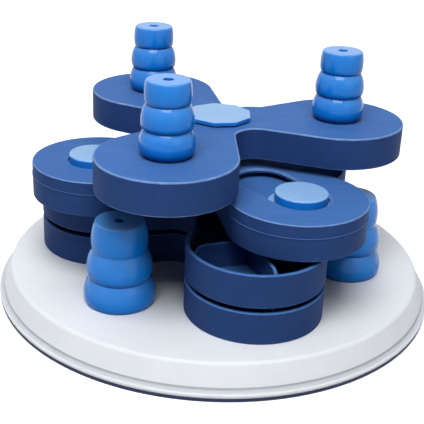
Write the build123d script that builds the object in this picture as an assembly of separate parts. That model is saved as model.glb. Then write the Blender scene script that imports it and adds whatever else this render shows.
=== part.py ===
"""Rotary treat puzzle for dogs: a round base, three-lobed storeys on one post, sliders and cones.

Millimetres, +Z up, the origin on the floor under the middle of the base. Every storey is drawn
with a lobe on the +X axis and is then turned about the post to its place.
"""

from build123d import *
import math
import os

# ---- driving dimensions -------------------------------------------------------------------

# Base: a bevelled shell with a groove and a bead round its foot, on a soft grip ring
base_radius = 110.0
base_wall = 2.2
grip_height = 1.9
grip_width = 9.0
grip_inset = 0.2
grip_round = 0.6
grip_tongue_height = 2.6
grip_tongue_play = 0.1
bead_height = 2.2
bead_setback = 0.8
bead_undercut = 0.4
groove_radius = 107.95
groove_z = 4.1
bevel_foot_radius = 107.5
bevel_foot_z = 5.6
shoulder_radius = 103.4
shoulder_ease_in = 1.5
shoulder_ease_out = 0.5
shoulder_drop = 1.2
deck_z = 15.6

# Treat dishes on the deck, one under each base cone
dish_radius = 10.0
dish_rim_width = 1.4
dish_rim_height = 1.0
dish_depth = 1.2

# Storeys: heights, and the gaps between them
lower_tray_height = 15.4
tray_gap = 2.5
middle_tray_height = 15.8
slider_gap = 2.35
slider_body_height = 10.4
slider_lid_height = 6.7
top_gap = 4.85
top_plate_height = 15.6

# Where the first lobe of each storey, the first base cone and a corner of the badge cap point,
# in degrees from +X
tray_turn = -70.8
slider_turn = -51.1
top_turn = -112.0
cone_turn = -9.1
badge_turn = -99.0

# The three-lobed outline of every storey: its lobes, and the notches between them
lobe_at = 59.2
lobe_radius = 32.2
notch_at = 31.0
notch_radius = 11.0

# Moulded walls, and the T-shaped ribs that split every tray lobe
wall = 1.8
rim_round = 0.5
plate_rim_round = 0.8
floor_thickness = 1.8
floor_play = 0.1
rib_thickness = 1.6
rib_drop = 1.8
rib_corner = 4.4
cross_rib_end_gap = 2.4
cross_rib_back = 7.3
out_rib_end_gap = 5.0

# Post, hubs and washers
post_radius = 6.0
post_bore = 3.4
post_round = 0.6
post_play = 0.05
hub_bore = 6.08
hub_radius = 10.0
hub_play = 0.2
washer_thickness = 0.9
washer_bore = 6.06
washer_inset = 0.4
flange_radius = 13.0
flange_thickness = 2.5
post_boss_radius = 13.0
post_boss_height = 8.0

# Sliders, their slots and the wells under them
slider_travel = 26.4
knob_radius = 12.1
knob_height = 7.3
knob_round = 1.0
slider_flange_radius = 15.0
slider_flange_thickness = 2.0
slot_half_width = 12.9
slot_seat_at = 61.3
channel_depth = 4.45
channel_play = 0.3
well_radius = 10.0
well_depth = 9.2
well_wall = 1.6
seam_bead = 0.25
seam_bead_height = 0.7
spigot_play = 0.3
lid_hub_play = 0.1

# Cones: (foot, fullest, neck) radius of every ring from the bottom up, the ring heights, and the
# heights between which a ring is full, as shares of its own height
top_cone_at = 58.8
top_cone_rings = [(9.8, 12.6, 10.4), (10.4, 11.8, 9.4), (9.4, 10.4, 9.5)]
top_cone_heights = [12.0, 11.3, 10.5]
top_cone_full = (0.0, 0.72)
base_cone_at = 68.1
base_cone_rings = [(16.0, 16.8, 14.3), (14.3, 15.4, 12.7), (12.7, 13.2, 11.3)]
base_cone_heights = [12.8, 13.6, 14.1]
base_cone_full = (0.18, 0.64)
cone_wall = 1.5
cone_crown_wall = 1.6
cone_top_wall = 1.8
cone_edge = 0.9
cone_hole_radius = 2.3

# Seats of the top cones: a plain foot under the lowest ring stands in a round recess
cone_foot_height = 1.1
cone_foot_play = 0.5
cone_recess_depth = 0.8

# Badge cap over the post's screw: a bare many-sided plate on a neck
badge_sides = 9
badge_radius = 16.0
badge_lift = 0.8
badge_thickness = 2.0
badge_edge = 0.4
badge_neck_radius = 11.0
badge_spigot_radius = 9.3
badge_spigot_wall = 1.2
badge_spigot_length = 2.2
screw_recess_radius = 9.45
screw_recess_depth = 6.2

# Screws and the bosses they bite in
screw_radius = 1.25
screw_clearance = 0.15
thread_play = 0.02
screw_head_radius = 2.6
screw_head_height = 1.8
drive_width = 0.7
drive_depth = 0.5
drive_share = 0.7
boss_radius = 3.2
post_screw_ring = 9.4
post_screw_bite = 6.0
post_pilot_depth = 7.0
tray_boss_height = 10.0
tray_screw_bite = 7.0
tray_pilot_depth = 8.0
flush_head_height = 0.9
flush_head_play = 0.3
lid_screw_at = 58.0
lid_screw_side = 21.6
lid_screw_length = 13.9
lid_pilot_depth = 3.7
top_screw_length = 8.0
cover_screw_ring = 88.0
cover_screw_length = 8.0
cover_thickness = 1.8
cover_lift = 1.0
cover_gap = 0.2
hub_screw_radius = 2.0
hub_screw_head_radius = 3.6
hub_screw_head_height = 2.2
hub_screw_length = 12.0
hub_pilot_spare = 4.0
hub_washer_radius = 8.6
hub_washer_thickness = 1.0
hub_washer_play = 0.1

# ---- levels and places worked out from them ------------------------------------------------

lower_tray_top = deck_z + lower_tray_height
middle_tray_z = lower_tray_top + tray_gap
middle_tray_top = middle_tray_z + middle_tray_height
slider_z = middle_tray_top + slider_gap
seam_z = slider_z + slider_body_height
lid_top = seam_z + slider_lid_height
channel_z = lid_top - channel_depth
top_plate_z = lid_top + top_gap
plate_top = top_plate_z + top_plate_height
cone_seat_z = plate_top - cone_recess_depth
hub_ledge_z = plate_top - screw_recess_depth
post_top = hub_ledge_z + hub_play
deck_under = deck_z - base_wall
cover_top = cover_lift + cover_thickness
slider_floor_top = slider_z + floor_thickness
top_floor_top = top_plate_z + floor_thickness
rib_corner_at = lobe_at - cross_rib_back
cone_recess_radius = top_cone_rings[0][0] + cone_foot_play
lobe_turns = (0.0, 120.0, 240.0)
cover_screw_turns = [tray_turn + 60.0 * step for step in range(6)]


# ---- helpers ------------------------------------------------------------------------------

def up(z):
    """Move a shape up to height z."""
    return Pos(0, 0, z)


def turned(shape, degrees):
    """Turn a shape about the post."""
    return Rot(0, 0, degrees) * shape


def disc(radius, z, height, x=0.0, y=0.0):
    """An upright cylinder from z to z + height."""
    return Pos(x, y, z) * extrude(Circle(radius), height)


def tube(outer, inner, z, height, x=0.0, y=0.0):
    """An upright tube from z to z + height."""
    return disc(outer, z, height, x, y) - disc(inner, z, height, x, y)


def trefoil(inset=0.0):
    """A three-lobed face: round lobes, round notches and the straight flanks between them."""
    round_radius = lobe_radius - inset
    hollow_radius = notch_radius + inset
    notch = Vector(notch_at * math.cos(math.radians(60)), notch_at * math.sin(math.radians(60)))
    across = notch - Vector(lobe_at, 0)
    lean = math.degrees(math.acos((round_radius + hollow_radius) / across.length))
    touch = math.degrees(math.atan2(across.Y, across.X)) - lean
    edges = []
    for turn in lobe_turns:
        lobe = CenterArc((lobe_at, 0), round_radius, -touch, 2 * touch)
        hollow = CenterArc(notch, hollow_radius, touch + 180, 120 - 2 * touch)
        next_lobe_start = (Rot(0, 0, 120) * lobe) @ 0
        flanks = [Line(lobe @ 1, hollow @ 0), Line(hollow @ 1, next_lobe_start)]
        edges += [turned(edge, turn) for edge in (lobe, flanks[0], hollow, flanks[1])]
    return Face(Wire(edges))


def storey(face, z, height):
    """A plate of a three-lobed face."""
    return up(z) * extrude(face, height)


def top_edges(shape):
    return shape.edges().group_by(Axis.Z)[-1]


def bottom_edges(shape):
    return shape.edges().group_by(Axis.Z)[0]


def on_lobes(shape):
    """A shape drawn on the first lobe, repeated on all three."""
    return [turned(shape, turn) for turn in lobe_turns]


def fuse(shapes):
    """One solid of several that meet."""
    total = shapes[0]
    for shape in shapes[1:]:
        total = total + shape
    return total


def cut(shape, tools):
    """A shape without any of the tools."""
    for tool in tools:
        shape = shape - tool
    return shape


def flush_hole(z, x, y=0.0):
    """A screw's hole through a floor that starts at z, with a recess for its head below."""
    hole = disc(screw_radius + screw_clearance, z, floor_thickness, x, y)
    return hole + disc(screw_head_radius + flush_head_play, z, flush_head_height, x, y)


def screw(radius, head_radius, head_height, length, x, y, head_z, upward=True):
    """A pan-head screw: the head's bearing face is at head_z and the shank points up or down."""
    drive = Pos(x, y, 0) * Box(2 * drive_share * head_radius, drive_width, 2 * drive_depth)
    if upward:
        head = disc(head_radius, head_z - head_height, head_height, x, y)
        shank = disc(radius, head_z, length, x, y)
        return head + shank - up(head_z - head_height) * drive
    head = disc(head_radius, head_z, head_height, x, y)
    shank = disc(radius, head_z - length, length, x, y)
    return head + shank - up(head_z + head_height) * drive


# ---- base ---------------------------------------------------------------------------------

def base_outside():
    """Half of the base's section, from the middle of the deck out to the foot of the bead."""
    bead_top = grip_height + bead_height
    bead_middle = grip_height + bead_height / 2
    ease_start = (shoulder_radius - shoulder_ease_in, deck_z)
    ease_end = (shoulder_radius + shoulder_ease_out, deck_z - shoulder_drop)
    ease_pull = (shoulder_radius - shoulder_ease_out, deck_z)
    bevel_foot = (bevel_foot_radius, bevel_foot_z)
    groove_end = (base_radius - bead_setback, bead_top)
    bead_foot = (base_radius - bead_undercut, grip_height)
    lines = [
        Line((0, grip_height), (0, deck_z)),
        Line((0, deck_z), ease_start),
        Bezier(ease_start, ease_pull, ease_end),
        Line(ease_end, bevel_foot),
        ThreePointArc(bevel_foot, (groove_radius, groove_z), groove_end),
        ThreePointArc(groove_end, (base_radius, bead_middle), bead_foot),
        Line(bead_foot, (0, grip_height)),
    ]
    return make_face(lines)


def base_inside():
    """Half of the hollow under the deck."""
    foot = bevel_foot_radius - base_wall
    outline = Polyline(
        (0, grip_height),
        (0, deck_under),
        (shoulder_radius - base_wall, deck_under),
        (foot, bevel_foot_z),
        (foot, grip_height),
        close=True,
    )
    return make_face(outline)


def make_base_shell():
    """The round shell with its three treat dishes, bosses for the cover and screw holes."""
    shell = revolve(Plane.XZ * base_outside(), Axis.Z)
    shell = shell - revolve(Plane.XZ * base_inside(), Axis.Z)
    dish_bore = dish_radius - dish_rim_width
    rim = tube(dish_radius, dish_bore, deck_under, base_wall + dish_rim_height, base_cone_at)
    hollow = disc(dish_bore, deck_z - dish_depth, dish_depth + dish_rim_height, base_cone_at)
    for turn in lobe_turns:
        shell = shell + turned(rim, cone_turn + turn) - turned(hollow, cone_turn + turn)
    boss = disc(boss_radius, cover_top, deck_under - cover_top, cover_screw_ring)
    for turn in cover_screw_turns:
        shell = shell + turned(boss, turn)
    tray_hole = disc(screw_radius + screw_clearance, deck_under, base_wall, rib_corner_at)
    post_hole = disc(screw_radius + screw_clearance, deck_under, base_wall, post_screw_ring)
    pilot = disc(screw_radius + thread_play, cover_top, cover_screw_length, cover_screw_ring)
    cuts = [disc(post_radius + post_play, deck_under, base_wall)]
    cuts += [turned(hole, tray_turn) for hole in on_lobes(tray_hole) + on_lobes(post_hole)]
    cuts += [turned(pilot, turn) for turn in cover_screw_turns]
    return cut(shell, cuts)


def make_grip_ring():
    """The soft ring the toy stands on, with a tongue that grips inside the shell's foot."""
    inner = base_radius - grip_width
    ring = tube(base_radius - grip_inset, inner, 0, grip_height)
    ring = fillet(bottom_edges(ring), grip_round)
    tongue_radius = bevel_foot_radius - base_wall - grip_tongue_play
    return ring + tube(tongue_radius, inner, grip_height, grip_tongue_height)


def make_bottom_cover():
    """The flat disc that closes the base from below, set in from the grip ring."""
    cover = disc(base_radius - grip_width - cover_gap, cover_lift, cover_thickness)
    hole = disc(screw_radius + screw_clearance, cover_lift, cover_thickness, cover_screw_ring)
    recess = disc(screw_head_radius + flush_head_play, cover_lift, flush_head_height,
                  cover_screw_ring)
    for turn in cover_screw_turns:
        cover = cover - turned(hole, turn) - turned(recess, turn)
    return cover


def make_cover_screws():
    one = screw(screw_radius, screw_head_radius, flush_head_height, cover_screw_length,
                cover_screw_ring, 0, cover_lift + flush_head_height)
    return [turned(one, turn) for turn in cover_screw_turns]


# ---- trays --------------------------------------------------------------------------------

def upright_rib(length, height):
    """A rib along +X from the origin, with its far top corner rounded."""
    side = Plane.XZ * Pos(length / 2, height / 2) * Rectangle(length, height)
    rib = extrude(side, rib_thickness / 2, both=True)
    far_top = rib.edges().filter_by(Axis.Y).sort_by(lambda e: e.center().X + e.center().Z)[-1]
    return fillet(far_top, rib_corner)


def tray_ribs(z, top):
    """The T of ribs that splits one lobe: one rib across it and one out along its middle."""
    height = top - rib_drop - z
    inside = lobe_radius - wall
    out_length = lobe_at + inside - out_rib_end_gap - rib_corner_at
    cross_length = math.sqrt((inside - cross_rib_end_gap) ** 2 - cross_rib_back ** 2)
    corner = Pos(rib_corner_at, 0, z)
    cross_rib = upright_rib(cross_length, height)
    left = corner * turned(cross_rib, 90)
    right = corner * turned(cross_rib, -90)
    return corner * upright_rib(out_length, height) + left + right


def make_tray(z, top, hub_top):
    """An open three-lobed tray with a floor, a thin rim, ribs and a hub tube for the post."""
    body = storey(trefoil(), z, top - z)
    body = fillet(bottom_edges(body), rim_round)
    tray = body - storey(trefoil(wall), z + wall, top - z)
    tray = fillet(top_edges(tray), rim_round)
    tray = tray + disc(hub_radius, z, hub_top - z)
    tray = fuse([tray] + on_lobes(tray_ribs(z, top)))
    return tray - disc(hub_bore, z, hub_top - z)


def make_lower_tray():
    """The fixed tray: it also has bosses for the screws that come up through the base."""
    tray = make_tray(deck_z, lower_tray_top, middle_tray_z - hub_play - washer_thickness)
    tray = fuse([tray] + on_lobes(disc(boss_radius, deck_z, tray_boss_height, rib_corner_at)))
    tray = tray + tube(post_boss_radius, hub_bore, deck_z, post_boss_height)
    pilot = disc(screw_radius + thread_play, deck_z, tray_pilot_depth, rib_corner_at)
    post_pilot = disc(screw_radius + thread_play, deck_z, post_pilot_depth, post_screw_ring)
    return turned(cut(tray, on_lobes(pilot) + on_lobes(post_pilot)), tray_turn)


def make_tray_screws():
    one = screw(screw_radius, screw_head_radius, screw_head_height, base_wall + tray_screw_bite,
                rib_corner_at, 0, deck_under)
    return [turned(copy, tray_turn) for copy in on_lobes(one)]


def make_middle_tray():
    hub_top = slider_z - hub_play - washer_thickness
    return turned(make_tray(middle_tray_z, middle_tray_top, hub_top), tray_turn)


def make_washer(next_storey_z):
    """The thin washer on a hub, just under the storey that turns on it."""
    washer_z = next_storey_z - hub_play - washer_thickness
    return tube(hub_radius - washer_inset, washer_bore, washer_z, washer_thickness)


# ---- post ---------------------------------------------------------------------------------

def make_spindle():
    """The post that every storey turns on, with a flange under the deck."""
    foot_z = deck_under - flange_thickness
    pilot_z = post_top - hub_screw_length - hub_pilot_spare
    post = disc(post_radius, deck_under, post_top - deck_under)
    post = fillet(top_edges(post), post_round)
    post = post + disc(flange_radius, foot_z, flange_thickness)
    cuts = [disc(post_bore, foot_z, pilot_z - foot_z)]
    cuts.append(disc(hub_screw_radius + thread_play, pilot_z, post_top - pilot_z))
    hole = disc(screw_radius + screw_clearance, foot_z, flange_thickness, post_screw_ring)
    cuts += [turned(copy, tray_turn) for copy in on_lobes(hole)]
    return cut(post, cuts)


def make_spindle_screws():
    length = flange_thickness + base_wall + post_screw_bite
    one = screw(screw_radius, screw_head_radius, screw_head_height, length, post_screw_ring, 0,
                deck_under - flange_thickness)
    return [turned(copy, tray_turn) for copy in on_lobes(one)]


def make_hub_washer():
    return tube(hub_washer_radius, hub_screw_radius + hub_washer_play, post_top,
                hub_washer_thickness)


def make_hub_screw():
    return screw(hub_screw_radius, hub_screw_head_radius, hub_screw_head_height,
                 hub_screw_length, 0, 0, post_top + hub_washer_thickness, upward=False)


# ---- slider storey ------------------------------------------------------------------------

def on_lid_screws(radius, z, height):
    """An upright cylinder at each of the six lid screws."""
    shapes = []
    for side in (-lid_screw_side, lid_screw_side):
        shapes += on_lobes(disc(radius, z, height, lid_screw_at, side))
    return shapes


def make_slider_floor():
    """The flat plate that closes the slider storey from below, round the hub."""
    floor = storey(trefoil(wall + floor_play), slider_z, floor_thickness)
    cuts = [disc(hub_radius + floor_play, slider_z, floor_thickness)]
    for side in (-lid_screw_side, lid_screw_side):
        cuts += on_lobes(flush_hole(slider_z, lid_screw_at, side))
    return turned(cut(floor, cuts), slider_turn)


def make_slider_body():
    """The lower half: a shell with a raised deck, a hub and three treat wells in the deck."""
    spigot_inset = wall + spigot_play
    shell = storey(trefoil(), slider_z, seam_z - slider_z)
    shell = fillet(bottom_edges(shell), rim_round)
    shell = shell + storey(trefoil(spigot_inset), seam_z, channel_z - seam_z)
    shell = shell - storey(trefoil(wall), slider_z, seam_z - wall - slider_z)
    shell = shell - storey(trefoil(spigot_inset + wall), slider_z, channel_z - wall - slider_z)
    hub_height = top_plate_z - hub_play - washer_thickness - slider_z
    shell = shell + disc(hub_radius, slider_z, hub_height)
    inside_height = channel_z - slider_floor_top
    cup = disc(well_radius + well_wall, slider_floor_top, inside_height, slot_seat_at)
    shell = fuse([shell] + on_lobes(cup))
    shell = fuse([shell] + on_lid_screws(boss_radius, slider_floor_top, inside_height))
    cuts = on_lobes(disc(well_radius, channel_z - well_depth, well_depth, slot_seat_at))
    cuts += on_lid_screws(screw_radius + screw_clearance, slider_floor_top, inside_height)
    cuts.append(disc(hub_bore, slider_z, hub_height))
    return turned(cut(shell, cuts), slider_turn)


def make_slider_lid():
    """The upper half: a shallow lid with a seam bead and a long radial slot over each well."""
    lid = storey(trefoil(), seam_z, slider_lid_height)
    lid = fillet(top_edges(lid), rim_round)
    lid = lid + storey(trefoil(-seam_bead), seam_z, seam_bead_height)
    lid = lid - storey(trefoil(wall), seam_z, slider_lid_height - wall)
    boss_height = lid_top - wall - channel_z
    lid = fuse([lid] + on_lid_screws(boss_radius, channel_z, boss_height))
    slot_middle = slot_seat_at - slider_travel / 2
    slot = SlotCenterToCenter(slider_travel, 2 * slot_half_width)
    cuts = on_lobes(Pos(slot_middle, 0, seam_z) * extrude(slot, slider_lid_height))
    cuts += on_lid_screws(screw_radius + thread_play, channel_z, lid_pilot_depth)
    cuts.append(disc(hub_radius + lid_hub_play, seam_z, slider_lid_height))
    return turned(cut(lid, cuts), slider_turn)


def make_lid_screws():
    screws = []
    for side in (-lid_screw_side, lid_screw_side):
        one = screw(screw_radius, screw_head_radius, flush_head_height, lid_screw_length,
                    lid_screw_at, side, slider_z + flush_head_height)
        screws += [turned(copy, slider_turn) for copy in on_lobes(one)]
    return screws


def make_slider(number):
    """A knob with a flange that runs under the lid."""
    flange_z = channel_z + channel_play
    flange = disc(slider_flange_radius, flange_z, slider_flange_thickness, slot_seat_at)
    knob = disc(knob_radius, flange_z, knob_height, slot_seat_at)
    knob = fillet(top_edges(knob), knob_round)
    hollow = disc(knob_radius - wall, flange_z, knob_height - wall, slot_seat_at)
    return turned(flange + knob - hollow, slider_turn + lobe_turns[number])


# ---- top plate ----------------------------------------------------------------------------

def make_top_plate():
    """A thick hollow plate with a hub, and a round seat with a screw boss under each cone."""
    plate = storey(trefoil(), top_plate_z, top_plate_height)
    plate = fillet(top_edges(plate), plate_rim_round)
    plate = fillet(bottom_edges(plate), rim_round)
    plate = plate - storey(trefoil(wall), top_plate_z, top_plate_height - wall)
    plate = plate + disc(screw_recess_radius + wall, top_plate_z, top_plate_height)
    seat = disc(cone_recess_radius + wall, cone_seat_z - wall, wall, top_cone_at)
    boss = disc(boss_radius, top_floor_top, cone_seat_z - top_floor_top, top_cone_at)
    plate = fuse([plate] + on_lobes(seat) + on_lobes(boss))
    pilot_height = top_screw_length - floor_thickness + flush_head_height
    cuts = on_lobes(disc(cone_recess_radius, cone_seat_z, cone_recess_depth, top_cone_at))
    cuts += on_lobes(disc(screw_radius + thread_play, top_floor_top, pilot_height, top_cone_at))
    cuts.append(disc(hub_bore, top_plate_z, top_plate_height))
    cuts.append(disc(screw_recess_radius, hub_ledge_z, screw_recess_depth))
    return turned(cut(plate, cuts), top_turn)


def make_top_floor():
    """The flat plate that closes the top plate from below, round the hub."""
    floor = storey(trefoil(wall + floor_play), top_plate_z, floor_thickness)
    cuts = on_lobes(flush_hole(top_plate_z, top_cone_at))
    cuts.append(disc(screw_recess_radius + wall + floor_play, top_plate_z, floor_thickness))
    return turned(cut(floor, cuts), top_turn)


def make_top_screws():
    one = screw(screw_radius, screw_head_radius, flush_head_height, top_screw_length,
                top_cone_at, 0, top_plate_z + flush_head_height)
    return [turned(copy, top_turn) for copy in on_lobes(one)]


def make_badge_cap():
    """A bare many-sided cap that hovers on its neck and plugs the screw recess."""
    cap_z = plate_top + badge_lift
    cap = up(cap_z) * extrude(RegularPolygon(badge_radius, badge_sides), badge_thickness)
    cap = chamfer(top_edges(cap), badge_edge)
    neck = disc(badge_neck_radius, plate_top, badge_lift)
    spigot = tube(badge_spigot_radius, badge_spigot_radius - badge_spigot_wall,
                  plate_top - badge_spigot_length, badge_spigot_length)
    return turned(cap + neck + spigot, badge_turn)


# ---- cones --------------------------------------------------------------------------------

def ring_side(ring, full, z, height):
    """The bulged side of one ring, from its lower neck to its upper neck."""
    low, fullest, high = ring
    full_from, full_to = full
    pull = (fullest - (low + high) / 8) * 4 / 3
    return Bezier((low, z), (pull, z + full_from * height), (pull, z + full_to * height),
                  (high, z + height))


def make_cone(rings, heights, full, foot_height=0.0):
    """A hollow cone of three stacked rings, standing on z = 0, with a hole in its top."""
    foot = rings[0][0]
    sides = [Line((foot, 0), (foot, foot_height))] if foot_height else []
    z = foot_height
    for ring, height in zip(rings, heights):
        sides.append(ring_side(ring, full, z, height))
        z += height
    crown = rings[-1][-1]
    outline = sides + [Line((crown, z), (0, z)), Line((0, z), (0, 0)), Line((0, 0), (foot, 0))]
    cone = revolve(Plane.XZ * make_face(outline), Axis.Z)
    cone = fillet(top_edges(cone), cone_edge)
    inner_top = z - cone_top_wall
    hollow = make_face(Polyline((0, 0), (foot - cone_wall, 0),
                                (rings[-1][0] - cone_crown_wall, inner_top), (0, inner_top),
                                close=True))
    return cone - revolve(Plane.XZ * hollow, Axis.Z) - disc(cone_hole_radius, 0, z)


def make_top_cone(number):
    cone = make_cone(top_cone_rings, top_cone_heights, top_cone_full, cone_foot_height)
    return turned(Pos(top_cone_at, 0, cone_seat_z) * cone, top_turn + lobe_turns[number])


def make_base_cone(number):
    cone = make_cone(base_cone_rings, base_cone_heights, base_cone_full)
    return turned(Pos(base_cone_at, 0, deck_z) * cone, cone_turn + lobe_turns[number])


# ---- write one file per piece -------------------------------------------------------------

def save(name, shape):
    if isinstance(shape, list):
        shape = Compound(children=shape)
    export_step(shape, f"parts/{name}.step")


os.makedirs("parts", exist_ok=True)
save("base_shell", make_base_shell())
save("grip_ring", make_grip_ring())
save("bottom_cover", make_bottom_cover())
save("cover_screws", make_cover_screws())
save("lower_tray", make_lower_tray())
save("tray_screws", make_tray_screws())
save("spindle", make_spindle())
save("spindle_screws", make_spindle_screws())
save("lower_washer", make_washer(middle_tray_z))
save("middle_tray", make_middle_tray())
save("middle_washer", make_washer(slider_z))
save("slider_floor", make_slider_floor())
save("slider_body", make_slider_body())
save("slider_lid", make_slider_lid())
save("lid_screws", make_lid_screws())
save("upper_washer", make_washer(top_plate_z))
save("top_floor", make_top_floor())
save("top_plate", make_top_plate())
save("top_screws", make_top_screws())
save("hub_washer", make_hub_washer())
save("hub_screw", make_hub_screw())
save("badge_cap", make_badge_cap())
for number in range(3):
    save(f"slider_{number + 1}", make_slider(number))
    save(f"top_cone_{number + 1}", make_top_cone(number))
    save(f"base_cone_{number + 1}", make_base_cone(number))
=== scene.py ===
"""Looks of the rotary treat puzzle for dogs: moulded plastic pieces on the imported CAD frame."""

from math import acos, atan2, cos, degrees, pi, radians, sin, sqrt, tan

import bmesh
import bpy
from mathutils import Matrix, Vector

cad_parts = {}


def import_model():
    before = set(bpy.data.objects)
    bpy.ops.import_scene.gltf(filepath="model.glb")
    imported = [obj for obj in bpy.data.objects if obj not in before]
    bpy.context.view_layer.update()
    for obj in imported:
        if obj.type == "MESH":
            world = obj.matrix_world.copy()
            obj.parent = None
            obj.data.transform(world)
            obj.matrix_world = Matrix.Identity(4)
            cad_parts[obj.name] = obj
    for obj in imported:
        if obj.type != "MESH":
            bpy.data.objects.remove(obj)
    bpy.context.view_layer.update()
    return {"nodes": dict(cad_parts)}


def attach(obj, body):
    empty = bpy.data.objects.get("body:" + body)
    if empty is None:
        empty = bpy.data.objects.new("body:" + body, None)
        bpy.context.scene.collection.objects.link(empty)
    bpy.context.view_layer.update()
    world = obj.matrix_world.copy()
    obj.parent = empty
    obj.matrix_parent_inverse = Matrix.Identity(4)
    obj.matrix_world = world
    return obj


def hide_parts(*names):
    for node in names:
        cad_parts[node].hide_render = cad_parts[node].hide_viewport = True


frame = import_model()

MM = 0.001

# ---- dimensions in millimetres, as the CAD model has them -----------------------------------

# Base: (radius, height) points of the shell's profile, from the deck outward and down
DECK_Z, DECK_UNDER = 15.6, 13.4
DECK_EDGE, EASE_PULLS = (101.9, DECK_Z), ((102.7, DECK_Z), (103.4, 15.3))
SHOULDER = (103.9, 14.4)
BEVEL_FOOT = (107.5, 5.6)
GROOVE = (107.95, 4.1)
BEAD_TOP, BEAD_MIDDLE, BEAD_FOOT = (109.2, 4.1), (110.0, 3.0), (109.6, 1.9)
BEAD_Z, BEAD_INSIDE, SHELL_INSIDE = 1.9, 103.0, 100.8
GRIP_OUTSIDE, GRIP_INSIDE, GRIP_TONGUE, GRIP_TOP = 109.8, 101.0, 105.1, 4.4
DISH_RADIUS, DISH_BORE, DISH_TOP, DISH_FLOOR = 10.0, 8.6, 16.6, 14.4

# The three-lobed storeys: each one's turn about the post, in degrees, and their common outline
TRAY_TURN, SLIDER_TURN, TOP_TURN, CONE_TURN = -70.8, -51.1, -112.0, -9.1
LOBE_TURNS = (0.0, 120.0, 240.0)
LOBE_AT, LOBE_RADIUS = 59.2, 32.2
NOTCH_AT, NOTCH_RADIUS = 31.0, 11.0
WALL = 1.8

LOWER_TRAY_Z, LOWER_TRAY_TOP = 15.6, 31.0
MIDDLE_TRAY_Z, MIDDLE_TRAY_TOP = 33.5, 49.3
SLIDER_Z, SEAM_Z, LID_TOP = 51.65, 62.05, 68.75
CHANNEL_Z = 64.3
TOP_Z, PLATE_TOP = 73.6, 89.2
HUB_RADIUS, HUB_BORE = 10.0, 6.08
HUB_SHORT = 1.1

RIB_CORNER_AT, RIB_THICKNESS, RIB_DROP, RIB_ROUND = 51.9, 1.6, 1.8, 4.4
CROSS_RIB_BACK, CROSS_RIB_END_GAP, OUT_RIB_END_GAP = 7.3, 2.4, 5.0
POST_BOSS_RADIUS, POST_BOSS_BORE, POST_BOSS_HEIGHT = 13.0, 9.0, 8.0
SCREW_BOSS_RADIUS, SCREW_BOSS_BORE, SCREW_BOSS_HEIGHT = 3.2, 0.5, 10.0

SLOT_AT, SLOT_TRAVEL, SLOT_HALF_WIDTH = 61.3, 26.4, 12.9
KNOB_RADIUS, KNOB_HEIGHT = 12.1, 7.3
FLANGE_RADIUS, FLANGE_THICKNESS = 15.0, 2.0
CHANNEL_PLAY = 0.3
WELL_RADIUS, WELL_FLOOR = 10.0, 55.1
SPIGOT_INSET = 2.1
LID_BORE = 10.1

BADGE_RADIUS, BADGE_SIDES, BADGE_LIFT, BADGE_THICKNESS, BADGE_TURN = 16.0, 9, 0.8, 2.0, -99.0
BADGE_NECK, BADGE_SPIGOT, BADGE_SPIGOT_BORE, BADGE_SPIGOT_LENGTH = 11.0, 9.3, 8.1, 2.2
SCREW_RECESS_RADIUS, SCREW_RECESS_DEPTH = 9.45, 6.2

# Cones: foot, fullest and neck radius and height of every ring, from the bottom up, then the
# shares of its height between which a ring is full, the plain foot's height and the place
TOP_CONE = dict(rings=((9.8, 12.6, 10.4, 12.0), (10.4, 11.8, 9.4, 11.3), (9.4, 10.4, 9.5, 10.5)),
                full=(0.0, 0.72), foot_height=1.1, z=88.4, at=58.8)
BASE_CONE = dict(rings=((16.0, 16.8, 14.3, 12.8), (14.3, 15.4, 12.7, 13.6),
                        (12.7, 13.2, 11.3, 14.1)),
                 full=(0.18, 0.64), foot_height=0.0, z=15.6, at=68.1)
CONE_EDGE, CONE_HOLE, CONE_WALL, CONE_CROWN_WALL, CONE_TOP_WALL = 0.9, 2.3, 1.5, 1.6, 1.8
CONE_RECESS_RADIUS, CONE_RECESS_DEPTH = 10.3, 0.8

# ---- fine detail in millimetres: edge rounds, lips and chamfers -----------------------------

DISH_EDGE, DISH_COVE = 0.4, 0.8
GRIP_EDGE, GRIP_FOOT_OUTSIDE, GRIP_FOOT_INSIDE = 0.3, 0.7, 0.6
FOOT_ROUND, RIM_ROUND, FLOOR_COVE = 0.6, 0.55, 1.0
HUB_CHAMFER, BORE_CHAMFER = 0.3, 0.2
POST_BOSS_ROUND, SCREW_BOSS_ROUND = 0.4, 0.3
RIB_EDGE = 0.4
SEAM_ROUND = 0.3
SEAM_BEAD, SEAM_BEAD_HEIGHT, SEAM_BEAD_ROUND, SEAM_BEAD_FADE = 0.25, 0.7, 0.15, 0.05
LIP_OUT, LIP_FOOT_OUT, LIP_DEPTH = 1.3, 1.2, 0.35
LIP_ROUND, LIP_FOOT_ROUND, SLOT_ROUND, SLOT_FOOT_ROUND = 0.3, 0.1, 0.4, 0.2
WELL_EDGE, WELL_COVE = 0.5, 1.6
FLANGE_FOOT_ROUND, FLANGE_ROUND, KNOB_FOOT_ROUND, KNOB_ROUND = 0.3, 0.4, 0.35, 0.8
PLATE_ROUND, SEAT_EDGE, SEAT_COVE = 0.8, 0.3, 0.15
BADGE_CORNER, BADGE_FOOT_ROUND, BADGE_ROUND = 1.5, 0.25, 0.45
CONE_FOOT_ROUND, CONE_CROWN_ROUND, CONE_HOLE_ROUND, CONE_ROOF_ROUND, CONE_ROOF_COVE = (
    0.3, 0.85, 0.35, 0.2, 1.0)
# Ribs and bosses start inside the plate that they stand on, so that no gap shows
RIB_SINK, BOSS_SINK = 0.5, 1.0
# How far beyond an open profile's end its last corner lies, which only gives a direction and
# is cut off again
RUN_ON = 3.0

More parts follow.
